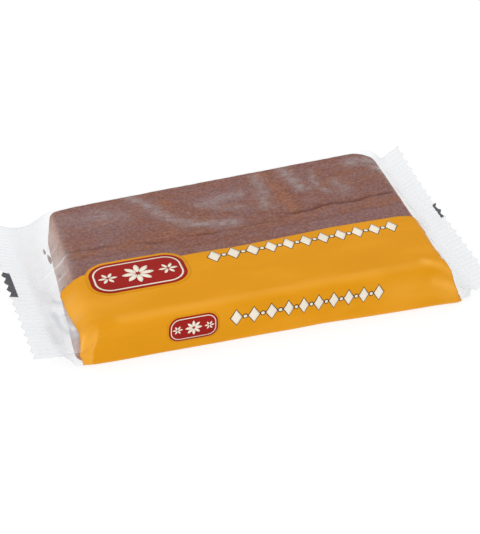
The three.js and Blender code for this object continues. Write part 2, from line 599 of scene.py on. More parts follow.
def cloth_of(start, rest, held):
    """A cloth with its points at start, which wants to be as large as it is in rest."""
    order = np.arange(start.shape[0] * start.shape[1], dtype=float).reshape(start.shape[:2])
    mesh = sheet("film_cloth", closed_round(start) * CLOTH_SCALE, {"cell": closed_round(order)})
    cloth = link("film_cloth", mesh)
    cell = np.zeros(len(mesh.vertices))
    mesh.attributes["cell"].data.foreach_get("value", cell)
    cell = cell.round().astype(int)
    cloth.shape_key_add(name="Basis")
    own_size = cloth.shape_key_add(name="own_size")
    own_size.data.foreach_set("co", (rest.reshape(-1, 3)[cell] * CLOTH_SCALE).ravel())
    own_size.value = 0
    pinned = cloth.vertex_groups.new(name="held")
    pinned.add(np.nonzero(held.ravel()[cell])[0].tolist(), 1, "REPLACE")
    modifier = cloth.modifiers.new("cloth", "CLOTH")
    settings = modifier.settings
    for name, value in FILM_CLOTH.items():
        setattr(settings, name, value)
    settings.rest_shape_key = own_size
    settings.vertex_group_mass = "held"
    settings.effector_weights.gravity = FILM_WEIGHT
    modifier.collision_settings.distance_min = 0.0015
    modifier.collision_settings.use_self_collision = False
    return cloth, cell


def settled(start, rest, held, settings):
    """Lets the film go round the slab and returns its points, in the order of start."""
    cloth, cell = cloth_of(start, rest, held)
    frames = settings.film.frames
    blockers = [
        link("slab_collider", slab_collider(settings.biscuit)),
        link("ground_collider", ground_collider()),
    ]
    for blocker in blockers:
        blocker.modifiers.new("collision", "COLLISION")
        blocker.collision.thickness_outer = 0.001
        blocker.collision.cloth_friction = 3
    scene = bpy.context.scene
    cloth.modifiers["cloth"].point_cache.frame_start = 1
    cloth.modifiers["cloth"].point_cache.frame_end = frames
    for number in range(1, frames + 1):
        scene.frame_set(number)
    shown = cloth.evaluated_get(bpy.context.evaluated_depsgraph_get())
    flat = np.zeros(3 * len(cell))
    shown.data.vertices.foreach_get("co", flat)
    points = np.zeros((start.shape[0] * start.shape[1], 3))
    points[cell] = flat.reshape(-1, 3) / CLOTH_SCALE
    scene.frame_set(1)
    for thing in [cloth, *blockers]:
        mesh = thing.data
        bpy.data.objects.remove(thing)
        bpy.data.meshes.remove(mesh)
    return points.reshape(start.shape)


class FilmGrid:
    """The settled film: a ring of points at each station, and the way out of the bag at each."""

    def __init__(self, stations, rings):
        self.stations = stations
        self.rings = rings
        along = np.gradient(rings, axis=0)
        around = np.roll(rings, -1, 1) - np.roll(rings, 1, 1)
        out = np.cross(along, around)
        self.out = out / np.maximum(np.linalg.norm(out, axis=2, keepdims=True), 1e-12)

    def at(self, station, girth):
        """Points of the film and the ways out of the bag there.

        The girth is the way round the film, up and over from halfway up the slab's front.
        """
        row = np.interp(station, self.stations, np.arange(len(self.stations)))
        column = girth / half_girth(station) * COLUMNS
        low_row = np.clip(np.floor(row).astype(int), 0, len(self.stations) - 2)
        low_column = np.floor(column).astype(int)
        row_share = (row - low_row)[:, None]
        column_share = (column - low_column)[:, None]

        def blend(grid):
            corners = [
                grid[low_row + down, (low_column + right) % RING]
                for down in (0, 1) for right in (0, 1)
            ]
            near = lerp(corners[0], corners[1], column_share)
            far = lerp(corners[2], corners[3], column_share)
            return lerp(near, far, row_share)

        out = blend(self.out)
        return blend(self.rings), out / np.linalg.norm(out, axis=1, keepdims=True)


def settled_film():
    """The film's grid, which has to be made before what lies on it."""
    if "film" not in made:
        raise RuntimeError("The film isn't made yet")
    return made["film"]


def crimp(stations, rings, film):
    """Presses the ribs into the fins and cuts their teeth."""
    across = np.minimum(np.arange(RING), RING - np.arange(RING)) / COLUMNS
    ribs = film.rib_height * np.cos(math.tau * 2 * TEETH * across)
    phase = across * TEETH % 1
    notch = film.tooth_depth * (1 - np.abs(2 * phase - 1))
    root = TOOTH_ROOT + film.tooth_depth
    for row, station in enumerate(stations):
        end = end_at(station)
        seal = seal_share(end, station)
        rings[row, :, 2] += ribs * smooth(seal, 0, 0.12)
        cut = max(0, 1 - (end.reach - abs(station)) / root)
        rings[row, :, 0] -= end.side * notch * cut
    for row in (0, -1):
        rings[row, RING - 1:COLUMNS:-1] = rings[row, 1:COLUMNS]
    return rings


def in_seam():
    """For each column of the film, 1 in the back seam's strip under the slab and 0 elsewhere."""
    high, low = ((2 - share) * COLUMNS for share in SEAM)
    columns = np.arange(RING)
    return ((columns <= high) & (columns >= low)).astype(float)


def fold_feet(stations, rings):
    """Draws the film back or out at the foot of each neck's front."""
    for row, station in enumerate(stations):
        girth = half_girth(station) * column_shares()
        low = np.exp(-((girth - FOOT_FOLD_GIRTH) / FOOT_FOLD_WIDTH) ** 2)
        for place, length, forward in FOOT_FOLDS:
            rings[row, :, 1] -= forward * low * math.exp(-((station - place) / length) ** 2)
    return rings


def column_shares():
    """Each column's way round the film, in widths of the slab, from under its front up and over."""
    column = np.arange(RING)
    return np.where(column > 1.25 * COLUMNS, column - RING, column) / COLUMNS


def film_grid(settings):
    """The film's grid: laid round the slab, settled, made finer and crimped."""
    coarse = stations_along(seal=5, left_neck=14, slab=106, right_neck=11, cut_rows=3)
    fine = stations_along(seal=8, left_neck=28, slab=106, right_neck=22, cut_rows=4)
    start = np.stack([film_ring(station, CLOTH_COLUMNS) for station in coarse])
    rest = np.stack([rest_ring(station, CLOTH_COLUMNS) for station in coarse])
    held = np.repeat(at_stations(neck_share, coarse) >= 1, 2 * CLOTH_COLUMNS, 1)
    start = settled(start, rest, held, settings)
    rings = finer(start, coarse, fine, COLUMNS)
    neck = at_stations(neck_share, fine)[:, None]
    across = ring_shares(0, COLUMNS)[0][None, :, None]
    calm = smooth(neck, 0, 0.25) * smooth(np.minimum(across, 1 - across), 0, CALM_FROM_EDGE)
    rings = lerp(rings, blurred(rings.copy(), CALMING), calm)
    rings = crimp(fine, fold_feet(fine, rings), settings.film)
    floor = FLOOR_GAP + SEAM_THICKNESS * (1 - in_seam())
    rings[:, :, 2] = np.maximum(rings[:, :, 2], floor)
    return FilmGrid(fine, rings)


# Finishes.


class Wire:
    """An output of a node that can be used in sums, each of which adds a Math node."""

    def __init__(self, finish, socket):
        self.finish = finish
        self.socket = socket

    def maths(self, operation, first, second=0.0, clamp=False):
        return self.finish.node(
            "Math", {"operation": operation, "use_clamp": clamp}, {0: first, 1: second}
        )

    def __add__(self, other):
        return self.maths("ADD", self, other)

    def __radd__(self, other):
        return self.maths("ADD", other, self)

    def __sub__(self, other):
        return self.maths("SUBTRACT", self, other)

    def __rsub__(self, other):
        return self.maths("SUBTRACT", other, self)

    def __mul__(self, other):
        return self.maths("MULTIPLY", self, other)

    def __rmul__(self, other):
        return self.maths("MULTIPLY", other, self)

    def __pow__(self, other):
        return self.maths("POWER", self, other)

    def clamped(self):
        return self.maths("ADD", self, 0.0, clamp=True)

    def between(self, low, high):
        """0 below low, 1 above high and smooth from one to the other."""
        return self.finish.node(
            "MapRange", {"interpolation_type": "SMOOTHSTEP"},
            {"Value": self, "From Min": low, "From Max": high},
        )


class Finish:
    """A material and its nodes."""

    def __init__(self, name):
        self.material = bpy.data.materials.new(name)
        self.material.use_nodes = True
        self.tree = self.material.node_tree
        self.tree.nodes.clear()

    def node(self, kind, settings=None, sockets=None, output=0):
        """Adds a node, with its settings and with values or wires at its sockets."""
        node = self.tree.nodes.new("ShaderNode" + kind)
        for name, value in (settings or {}).items():
            setattr(node, name, value)
        for name, value in (sockets or {}).items():
            if isinstance(value, Wire):
                self.tree.links.new(value.socket, node.inputs[name])
            else:
                node.inputs[name].default_value = value
        return Wire(self, node.outputs[output]) if node.outputs else None

    def attribute(self, name):
        return self.node("Attribute", {"attribute_name": name}, output=2)

    def place(self):
        return self.node("TexCoord", output=3)

    def flat(self):
        """The place on the flat film: along it, and round it."""
        return self.node("UVMap", {"uv_map": "flat"})

    def scaled(self, vector, factors):
        return self.node("VectorMath", {"operation": "MULTIPLY"}, {0: vector, 1: factors})

    def mottle(self, size, detail=2.0, vector=None, stretch=(1, 1, 1), rough=0.5):
        """Cloudy noise with blots of about that size, stretched along each axis."""
        vector = vector or self.place()
        factors = tuple(1 / (size * along) for along in stretch)
        return self.node(
            "TexNoise", {},
            {
                "Vector": self.scaled(vector, factors), "Scale": 1.0, "Detail": detail,
                "Roughness": rough,
            },
        )

    def mix(self, share, first, second, blend="MIX"):
        return self.node(
            "Mix", {"data_type": "RGBA", "blend_type": blend}, {0: share, 6: first, 7: second},
            output=2,
        )

    def bump(self, height, distance, strength=1.0):
        return self.node("Bump", {}, {"Strength": strength, "Distance": distance, "Height": height})

    def done(self, shader):
        self.node("OutputMaterial", {}, {"Surface": shader})
        return self.material


def dough_finish(biscuit):
    """Baked brown dough: mottled, grainy, painted shade in its cracks, and moist where the film clings.
    """
    finish = Finish("baked_dough")
    broad = finish.mottle(24 * MM, detail=2).between(0.36, 0.64)
    blots = finish.mottle(6 * MM, detail=5, stretch=(1.3, 1, 1), rough=0.7).between(0.36, 0.64)
    grain = finish.mottle(1.3 * MM, detail=3, stretch=(1.2, 1, 1), rough=0.6)
    specks = finish.mottle(1.2 * MM, detail=1).between(0.36, 0.26)
    flecks = finish.mottle(1.5 * MM, detail=2, stretch=(1.8, 1, 1)).between(0.62, 0.72)
    moist = finish.attribute("moist")
    dull = finish.attribute("dull")
    crack = finish.attribute("crack")
    # Pale blots of dough, and the painted reflection of the film where it hangs off the dough.
    pale = (dull + broad * 0.5 + blots * 0.7 - 0.4).clamped()
    colour = finish.mix(pale, biscuit.crust, biscuit.dull)
    wet = (moist + (1 - blots) * 0.6 - 0.4).clamped()
    colour = finish.mix(wet, colour, biscuit.moist)
    colour = finish.mix(finish.attribute("side") * (0.5 + blots * 0.35), colour, biscuit.side)
    grainy = grain.between(0.36, 0.64)
    light = finish.mix(0.1, colour, (0.68, 0.46, 0.36, 1))
    colour = finish.mix(grainy, finish.mix(0.24, colour, biscuit.deep), light)
    colour = finish.mix(flecks * 0.16, colour, (0.62, 0.5, 0.46, 1))
    # Painted shade in the crack and along the crease, with the dough's own dark specks.
    dark = (crack * (0.65 + grainy * 0.4) + specks * 0.4).clamped()
    colour = finish.mix(dark * 0.9, colour, biscuit.deep)
    height = grain * 0.4 + blots * 0.6
    shader = finish.node(
        "BsdfPrincipled", {},
        {
            "Base Color": colour,
            "Roughness": (0.75 - wet * 0.15 + (grain - 0.5) * 0.2).clamped(),
            "Specular IOR Level": 0.15,
            "Normal": finish.bump(height, 0.5 * MM, 0.4),
        },
    )
    return finish.done(shader)


def film_finish(film):
    """Clear glossy film: hazy with painted reflections where it hangs free, painted highlights on sharp
    folds, painted shade in deep folds, white in the fins.
    """
    finish = Finish("clear_film")
    flat = finish.flat()
    veil = finish.attribute("veil")
    milk = finish.attribute("milk")
    fold = finish.attribute("fold")
    shade = finish.attribute("shade")
    wisps = finish.mottle(3.5 * MM, detail=3, vector=flat, stretch=(1.4, 1, 1), rough=0.6)
    wisps = wisps.between(0.3, 0.7)
    cloud = finish.mottle(15 * MM, detail=2, vector=flat, stretch=(1.6, 1, 1)).between(0.35, 0.7)
    facing = finish.node("LayerWeight", {}, {"Blend": 0.35}, output=1)
    # Share of milky gloss: haze with painted reflection, painted fold highlights, milk and painted
    # shade.
    share = veil * (0.3 + wisps * 0.95) + fold * 0.4 + milk * (0.9 + cloud * 0.2) + shade * 0.5
    share = share + cloud * 0.015 + facing ** 3.0 * 0.15
    # Whiter along folds as a painted highlight, and where the film is milky.
    tint = finish.mix((fold + milk * 0.35).clamped(), film.milk, (0.93, 0.93, 0.93, 1))
    gloss = finish.node(
        "BsdfPrincipled", {},
        {
            # The colour darkens to painted shade in deep folds.
            "Base Color": finish.mix(shade.clamped(), tint, film.shade),
            "Roughness": (0.25 + wisps * 0.15 + milk * 0.2).clamped(),
            "Specular IOR Level": 0.3,
        },
    )
    clear = finish.node("BsdfTransparent", {}, {"Color": film.tint})
    shader = finish.node("MixShader", {}, {0: share.clamped(), 1: clear, 2: gloss})
    return finish.done(shader)


def ink_finish(name, colour, depth, sheen=None):
    """Ink under the film's gloss, with blots darkened to a share and a painted highlight in places."""
    finish = Finish(name)
    flat = finish.flat()
    cloud = finish.mottle(16 * MM, detail=3, vector=flat, stretch=(2.5, 1, 1)).between(0.3, 0.7)
    ripple = finish.mottle(3 * MM, detail=2, vector=flat, stretch=(4, 1, 1))
    tint = finish.mix((cloud * 0.8 + ripple * 0.2).clamped(), darker(colour, depth), colour)
    if sheen is not None:
        # Painted highlight where the band catches the light.
        tint = finish.mix((finish.attribute("sheen") + (cloud - 0.5) * 0.12).clamped(), tint, sheen)
    shader = finish.node(
        "BsdfPrincipled", {},
        {
            "Base Color": tint,
            "Roughness": (0.34 + (cloud - 0.5) * 0.1).clamped(),
            "Specular IOR Level": 0.06,
            "Normal": finish.bump(ripple, 0.15 * MM, 0.25),
        },
    )
    return finish.done(shader)


# The biscuit.

# The points of the two cracks that run along the slab's top, in millimetres.
CRACK = (
    (-88, 12.5), (-84, 12.2), (-72, 10.8), (-62, 10.7), (-52, 8.2), (-42, 5.6), (-30, 7), (-20, 5.9),
    (-2, 5.4), (8, 6.9), (18, 6.2), (25, 11), (30, 10.2), (37, 10.5), (43, 12.3), (48, 12.7),
    (59, 11.2), (68, 12.2), (78, 13.6), (88, 13),
)
STRIP = (
    (-88, 5), (-77, 4.9), (-70, 2.9), (-59, 2.2), (-49, 0.7), (-30, -3), (-9, -1), (5, 0.5),
    (22, -0.4), (38, -0.3), (52, 1.3), (64, 1.5), (88, 2.7),
)
LINE_SWAYS = (
    # how far a line wanders, over what length, seed
    (0.9 * MM, 6 * MM, 0),
    (0.35 * MM, 1.7 * MM, 5),
)
CRACK_WIDTH = 0.85 * MM
CRACK_STRENGTH = 0.4        # of 1, the deepest
CRACK_CHANGE = 0.7          # how much it comes and goes along the crack
CRACK_CHANGE_LENGTH = 13 * MM
DEEP_CRACK = 0.6            # how much stronger the crack is in its deep stretch
DEEP_FROM = (20 * MM, 34 * MM)
DEEP_TO = (78 * MM, 86 * MM)
CREASE_STRENGTH = 0.2
CREASE_WIDTH = 0.9 * MM
BASE_EDGE = 0.4             # how round the slab's edges are at its base, against its upper ones
DOUGH_STEP = 0.85 * MM
DOUGH_BUMPS = ((0.5, 19 * MM), (0.35, 6.5 * MM), (0.3, 2.4 * MM))   # heights and sizes
BUMPS_SINK = 0.6            # how far the bumps' middle lies under the slab's plain surface


def line_y(points, x, wander):
    """How far back a line across the slab's top runs at each x, with a small seeded wander."""
    sway = [
        sum(reach * noise.noise(Vector((value / over, wander, seed)))
            for reach, over, seed in LINE_SWAYS)
        for value in x
    ]
    return along_line(points, x) + sway


def corner_radius(biscuit, x, y):
    """How round the slab's upright corner is on a place's side."""
    if x > 0 and y > 0:
        return biscuit.worn_corner
    if x < 0 and y < 0:
        return biscuit.pressed_corner
    return biscuit.corner_radius


def rounded_slab(point, half, corner, edge):
    """Moves a point of a box's surface onto the same box with round corners and edges."""
    x, y, z = point
    core = (half[0] - corner, half[1] - corner)
    dx = max(abs(x) - core[0], 0)
    dy = max(abs(y) - core[1], 0)
    away = math.hypot(dx, dy)
    if away == 0:
        return Vector(point)
    inset = corner - max(dx, dy)
    way = (math.copysign(dx / away, x), math.copysign(dy / away, y))
    base = (math.copysign(min(abs(x), core[0]), x), math.copysign(min(abs(y), core[1]), y))
    low = half[2] - edge
    up = max(abs(z) - low, 0)
    outward = max(0, edge - inset)
    size = math.hypot(up, outward)
    largest = max(up, outward)
    if outward > 0:
        inset = edge - outward / size * largest
    if up > 0:
        z = math.copysign(low + up / size * largest, z)
    reach = corner - inset
    return Vector((base[0] + way[0] * reach, base[1] + way[1] * reach, z))


def slab_bmesh(biscuit, step, gap):
    """The slab as a box of small cells, rounded and skewed, so far inside the film."""
    width = (SLAB_RIGHT.back - SLAB_RIGHT.front + SLAB_LEFT.back - SLAB_LEFT.front) / 2
    height = (SLAB_LEFT.top + SLAB_RIGHT.top) / 2
    size = Vector((SLAB_LENGTH, width, height))
    bm = bmesh.new()
    bmesh.ops.create_cube(bm, size=1)
    for axis in range(3):
        edges = [
            edge for edge in bm.edges
            if abs(abs((edge.verts[0].co - edge.verts[1].co)[axis]) - 1) < 1e-6
        ]
        cuts = round(size[axis] / step) - 1
        bmesh.ops.subdivide_edges(bm, edges=edges, cuts=cuts, use_grid_fill=True)
    for vert in bm.verts:
        box = Vector(part * whole for part, whole in zip(vert.co, size))
        corner = corner_radius(biscuit, box.x, box.y)
        edge = lerp(biscuit.front_edge, biscuit.back_edge, smooth(vert.co.y, -0.3, 0.4))
        edge = lerp(edge, biscuit.end_edge, smooth(abs(vert.co.x), 0.42, 0.5))
        edge *= lerp(BASE_EDGE, 1, smooth(vert.co.z, -0.4, 0.2))
        box = rounded_slab(box, size / 2, max(corner, edge), edge)
        along, across, up = (part / whole for part, whole in zip(box, size))
        vert.co = slab_point(2 * along, across + 0.5, up + 0.5, gap, biscuit.underside + gap)
        vert.co.z += biscuit.crown * (up + 0.5) * (1 - 4 * across ** 2) * (1 - (2 * along) ** 4)
    return bm


def dough_bumps(place):
    """The baked surface's unevenness at a place, from about -1 to 0."""
    return sum(height * noise.noise(place / size) for height, size in DOUGH_BUMPS) - BUMPS_SINK


# Where the crust is moist, and where a painted reflection of the film's veil dulls it, on the slab's
# top, in millimetres: soft ovals with a middle, half lengths and strength, and soft strokes with a
# strength, half width and points.
MOIST_SPOTS = (
    (-31, 40, 5, 4, 0.7), (-37, 13, 12, 4, 0.5), (-66, 34, 5, 4, 0.4), (-82, 14, 6, 14, 0.3),
    (70, 32, 14, 7, 0.4), (-50, 8, 20, 4, 0.3), (0, 4, 20, 5, 0.35),
)
MOIST_STROKES = (
    (0.8, 4.2, ((24, 52), (27, 38), (28, 24), (29, 12))),
    (0.45, 3, ((22, 5), (44, 7), (84, 7))), (0.4, 1, ((44, 2.5), (84, 4))),
    (0.35, 1.5, ((-84, 8), (-60, 6), (-45, 3))),
)
# Painted reflection of the film where it hangs off the dough.
REFLECTION_SPOTS = (
    (-68, 31, 18, 16, 0.8), (-40, 44, 14, 8, 0.5), (0, 36, 14, 9, 0.6), (40, 40, 8, 14, 0.5),
    (62, 44, 16, 10, 0.4), (-5, 16, 20, 4, 0.5),
)


def crust(bm, biscuit):
    """What the dough's finish reads at each vertex, and how far each one moves outwards."""
    x, y = np.array([vert.co.xy for vert in bm.verts]).T
    up = np.array([max(0, vert.normal.z) for vert in bm.verts])
    bumps = np.array([dough_bumps(vert.co) for vert in bm.verts])
    change = np.array([noise.noise(Vector((value / CRACK_CHANGE_LENGTH, 3, 0))) for value in x])
    strength = CRACK_STRENGTH + CRACK_CHANGE * change
    strength += DEEP_CRACK * smooth(x, *DEEP_FROM) * (1 - smooth(x, *DEEP_TO))
    from_crack = (y - line_y(CRACK, x, 0)) / CRACK_WIDTH
    split = up * np.clip(strength, 0, 1) * np.exp(-from_crack ** 2)
    strip_line = line_y(STRIP, x, 9)
    crease = CREASE_STRENGTH * up * np.exp(-((y - strip_line) / CREASE_WIDTH) ** 2)
    # In front of the crease the film spans free, so a painted reflection dulls that strip.
    reflected_strip = smooth(strip_line - y, 0, 1.5 * MM)
    reflected_strip *= lerp(0.3, 1, smooth(np.abs(x + 10 * MM), 25 * MM, 55 * MM))
    wet = (spots(x, y, MOIST_SPOTS) + strokes(x, y, MOIST_STROKES)) * (1 - reflected_strip)
    # The crack layer paints shade into the carved crack and along the crease.
    layers = {
        "crack": np.clip(split + crease, 0, 1),
        "moist": wet,
        "dull": spots(x, y, REFLECTION_SPOTS) + 0.9 * reflected_strip,
        "side": smooth(np.array([abs(vert.normal.x) for vert in bm.verts]), 0.3, 0.85),
    }
    return layers, biscuit.unevenness * bumps - biscuit.crack_depth * (split + crease)


class BISCUIT_OT_slab(bpy.types.Operator):
    """Make the baked slab with its cracked, uneven crust"""
    bl_idname = "biscuit.slab"
    bl_label = "Slab"

    def execute(self, context):
        biscuit = context.scene.biscuit_pack.biscuit
        bm = slab_bmesh(biscuit, DOUGH_STEP, biscuit.clearance)
        bmesh.ops.recalc_face_normals(bm, faces=bm.faces)
        bm.normal_update()
        layers, depths = crust(bm, biscuit)
        note_layers(bm, layers)
        for vert, depth in zip(bm.verts, depths):
            vert.co += vert.normal * float(depth)
        finish_piece("biscuit", mesh_of("biscuit", bm), dough_finish(biscuit))
        return {"FINISHED"}


# Crumbs that cling to the film's inside: where on the flat film each is, its size in millimetres,
# and how much longer it is than wide.
CRUMBS = (
    (-93.8, 88, 0.55, 3.6), (-93.3, 79, 0.8, 4.6), (-91, 61, 0.8, 1.2), (-91.8, 49.5, 0.9, 1.3),
    (-93.5, 14, 0.6, 2), (-96, 30, 0.4, 1.4),
)


class BISCUIT_OT_crumbs(bpy.types.Operator):
    """Stick a few crumbs to the inside of the film at the slab's left end"""
    bl_idname = "biscuit.crumbs"
    bl_label = "Crumbs"

    def execute(self, context):
        biscuit = context.scene.biscuit_pack.biscuit
        bm = bmesh.new()
        for layer in ("crack", "moist", "dull", "side"):
            bm.verts.layers.float.new(layer)
        for station, girth, size, long in CRUMBS:
            size *= MM
            point, out = settled_film().at(np.array([station * MM]), np.array([girth * MM]))
            middle = Vector(point[0] - out[0] * size * 1.3)
            crumb = bmesh.ops.create_icosphere(bm, subdivisions=3, radius=size)["verts"]
            for vert in crumb:
                lump = noise.noise(vert.co / (0.9 * MM) + middle / MM)
                vert.co *= 1 + 0.4 * lump
                vert.co.y *= long
                vert.co += middle
        mesh = mesh_of("crumbs", bm)
        finish_piece("crumbs", mesh, bpy.data.materials["baked_dough"])
        return {"FINISHED"}


# The film.

# Where the film hangs off the dough it shows milky haze with painted reflection streaks. Each stroke
# has a strength and half a width in millimetres, and runs through points of the flat film: how far
# along it and how far round it.
HAZE_AND_REFLECTION_STROKES = (
    (0.13, 2.3, ((-45, 114), (-39, 104), (-32, 90), (-26, 82), (-17, 78), (-4, 75))),
    (0.1, 4.5, ((-45, 114), (-39, 104), (-32, 90), (-26, 82), (-17, 78), (-4, 75))),
    (0.16, 3.6, ((20, 115), (19, 101), (16, 85))),
    (0.21, 3.8, ((35, 118), (37, 105), (39, 96))),
    (0.15, 2.2, ((48, 112), (47, 98), (50, 89))),
    (0.13, 4.0, ((57, 97), (60, 87))),
    (0.24, 4.5, ((71, 114), (80, 114), (84, 104))),
    (0.14, 2.5, ((84, 104), (85, 80))),
    (0.1, 6.0, ((-60, 104), (-52, 96))),
    (0.16, 3.6, ((-14, 95), (-6, 98), (7, 101))),
    (0.13, 3.0, ((-8, 90), (6, 88))),
    (0.08, 6.0, ((-78, 102), (-62, 98))),
)
# Painted highlights along the film's creases: strength, half width and points.
CREASE_HIGHLIGHTS = (
    (0.5, 1.0, ((-99.5, 41), (-97, 28), (-94, 16))),
    (0.6, 0.8, ((-100, 65), (-91, 68), (-84, 71))),
    (0.4, 0.7, ((-99, 56), (-91, 58), (-85, 60))),
    (0.25, 0.7, ((-94, 79), (-89, 82), (-85, 86))),
)
# Painted shade in the film's deep folds: strength, half width and points.
SHADES = (
    (0.7, 1.1, ((-99, 45), (-94, 40))), (0.6, 1.6, ((-101.5, 36), (-100, 25), (-96, 12))),
    (0.45, 1.2, ((-97, 30), (-94.5, 18))), (0.4, 2.4, ((-105, 26), (-104, 12))),
    (0.25, 3, ((-100, 57), (-103, 49))),
)
# The middle on the flat film, half lengths along and round it, and strength.
MILK_SPOTS = (
    (-100, 34, 7, 16, 0.25), (-94, 4, 6, 9, 0.1), (-97, 62, 6, 12, 0.2), (92, -2, 4, 16, 0.15),
    (-87, 92, 4.5, 18, 0.22), (-87, 66, 4.5, 14, 0.26), (-93.5, 18, 3, 9, 0.4),
)
NECK_MILK = {LEFT: 0.22, RIGHT: 0.13}
FIN_MILK = {LEFT: 0.22, RIGHT: 0.14}
RIB_MILK = 0.05


def film_layers(grid):
    """What the film's finish reads at each point: haze with painted reflection, milkiness, painted
    highlights on folds and painted shade in deep ones.
    """
    fin = smooth(at_stations(seal_share, grid.stations), 0, 0.1)
    neck = at_stations(neck_share, grid.stations)
    neck_milk = at_stations(lambda end, station: NECK_MILK[end], grid.stations)
    fin_milk = at_stations(lambda end, station: FIN_MILK[end], grid.stations)
    share = column_shares()
    girth = half_girth(grid.stations)[:, None] * share
    along = np.repeat(grid.stations[:, None], RING, 1)
    veil = strokes(along, girth, HAZE_AND_REFLECTION_STROKES)
    milk = neck_milk * smooth(neck, 0, 0.4) + (fin_milk - neck_milk) * fin
    milk = milk + spots(along, girth, MILK_SPOTS) + 0.1 * in_seam() * (1 - fin)
    milk = milk + RIB_MILK * np.cos(math.tau * 2 * TEETH * share) * fin
    # Painted highlights where the film turns sharply, and along the listed creases.
    turn_along = np.linalg.norm(np.gradient(grid.out, axis=0), axis=2)
    turn_round = np.linalg.norm(np.roll(grid.out, -1, 1) - np.roll(grid.out, 1, 1), axis=2)
    fold = blurred(np.clip((turn_along + turn_round - 0.45) * 0.5, 0, 0.5), 3)
    fold = fold * smooth(neck, 0.02, 0.15) * (1 - fin) + strokes(along, girth, CREASE_HIGHLIGHTS)
    shade = strokes(along, girth, SHADES)
    return {"veil": veil, "milk": milk, "fold": fold, "shade": shade}


class BISCUIT_OT_film(bpy.types.Operator):
    """Wrap the slab in its bag of clear film, let it settle, and crimp its end fins"""
    bl_idname = "biscuit.film"
    bl_label = "Film"

    def execute(self, context):
        settings = context.scene.biscuit_pack
        grid = film_grid(settings)
        made["film"] = grid
        layers = {name: closed_round(values) for name, values in film_layers(grid).items()}
        round_way = np.arange(RING + 1) / COLUMNS * half_girth(0)
        ways = np.stack(np.broadcast_arrays(grid.stations[:, None], round_way[None]), 2)
        mesh = sheet("film_bag", closed_round(grid.rings), layers, ways)
        finish_piece("film_bag", mesh, film_finish(settings.film))
        return {"FINISHED"}


# The print, which is drawn flat, with x along the film and y round it, and then laid on the film.

INK = 0.05 * MM             # thickness of the ink
LOWEST_LAYER = 0.1 * MM     # how far off the film the band lies
LAYER = 0.06 * MM           # from one layer of ink to the next one over it


def lift_of(layer):
    """How far off the film a layer of ink lies, counted from the band up."""
    return LOWEST_LAYER + layer * LAYER


def round_to(y, x):
    """The way round the film, from halfway up its front, to y on the slab's top."""
    slab = slab_section(x)
    return slab.top / 2 + y - slab.front


# The band's outline on the flat film, in millimetres: its upper edge at places along the film, and
# its left and right edge at places round it, from under the slab up.
BAND_TOP = (
    (-94, 44.8), (-92.2, 47), (-87.5, 48.6), (-83.4, 49.8), (-80.2, 51.5), (-77, 52), (-27, 54),
    (-20, 53.9), (-10, 53.6), (13, 54.6), (28, 55.5), (40, 56.4), (54, 56.4), (76, 56.4),
    (81, 55.4), (86, 54),
)
BAND_LEFT = (
    (-60, -80), (-12, -81.5), (-7.5, -83.4), (-3.7, -85), (1, -88.2), (4.4, -89.7), (7.4, -90.4),
    (12.2, -92), (23.7, -92.3), (29.2, -93.4), (35, -94.6), (40.2, -93.8), (46, -93.8),
)
BAND_RIGHT = (
    (-60, 85.6), (-9, 85.6), (-1, 85.2), (4, 85.4), (7.5, 86.4), (11.7, 87), (18, 84.6), (27.5, 84.2),
    (38.5, 85), (50.7, 86.5), (53.6, 85.5), (56, 82),
)
BAND_UNDER = 42 * MM
BAND_ROUNDS = 6             # how often the band's upper and side edges are fitted to each other
BAND_CELLS = (230, 96)
# A painted highlight on the pressed front left corner, whose fold is crisp towards the front and fades
# to the left.
FACET_HIGHLIGHT = metres(
    HighlightFacet,
    {"edge": -80.4, "crispness": 0.4, "fade": -94, "top": 16, "top_fade": 12},
    strength=0.45,
)
# Painted highlights on the band: strips with a strength, half width and points, then soft ovals with a
# middle, half lengths and strength.
BAND_HIGHLIGHT_STRIPS = (
    (0.3, 1.2, ((-88, 8), (-87.5, -9))),
    (0.22, 2.6, ((-70, 13.5), (75, 14.5))), (0.2, 1.0, ((-80, -8.5), (85, -9))),
    (0.4, 2.2, ((88, 6), (80, 12), (74, 16))), (0.3, 2.2, ((76, 4), (84, 0))),
)
BAND_HIGHLIGHT_SPOTS = (
    (-90, 30, 9, 17, 0.4), (-88, 2, 3.5, 10, 0.3), (-66, 30, 12, 8, 0.15), (82, -2, 7, 8, 0.25),
    (60, 3, 14, 7, 0.15),
)


def thicken(bm, thickness):
    """Gives flat shapes a thickness, upwards."""
    grown = bmesh.ops.extrude_face_region(bm, geom=bm.faces[:])["geom"]
    verts = [part for part in grown if isinstance(part, bmesh.types.BMVert)]
    bmesh.ops.translate(bm, verts=verts, vec=(0, 0, thickness))
    bmesh.ops.recalc_face_normals(bm, faces=bm.faces)


def lay_on_film(bm, lift):
    """Bends flat shapes onto the settled film, that far off it."""
    flat = np.array([vert.co for vert in bm.verts])
    note_ways(bm, flat[:, :2])
    points, out = settled_film().at(flat[:, 0], flat[:, 1])
    for vert, point in zip(bm.verts, points + out * (flat[:, 2:] + lift)):
        vert.co = point


def printed(name, bm, lift, finish):
    """Finishes a flat shape as a print on the film."""
    thicken(bm, INK)
    lay_on_film(bm, lift)
    finish_piece(name, mesh_of(name, bm), finish)


def band_places(bm):
    """Where the vertices of a square of cells lie once it fills the band's outline."""
    low = -SLAB_LEFT.top / 2 - BAND_UNDER
    across, up = np.array([vert.co.xy for vert in bm.verts]).T + 0.5
    girth = up * 0
    for _ in range(BAND_ROUNDS):
        x = lerp(along_line(BAND_LEFT, girth), along_line(BAND_RIGHT, girth), across)
        girth = lerp(low, along_line(BAND_TOP, x), up)
    return x, girth


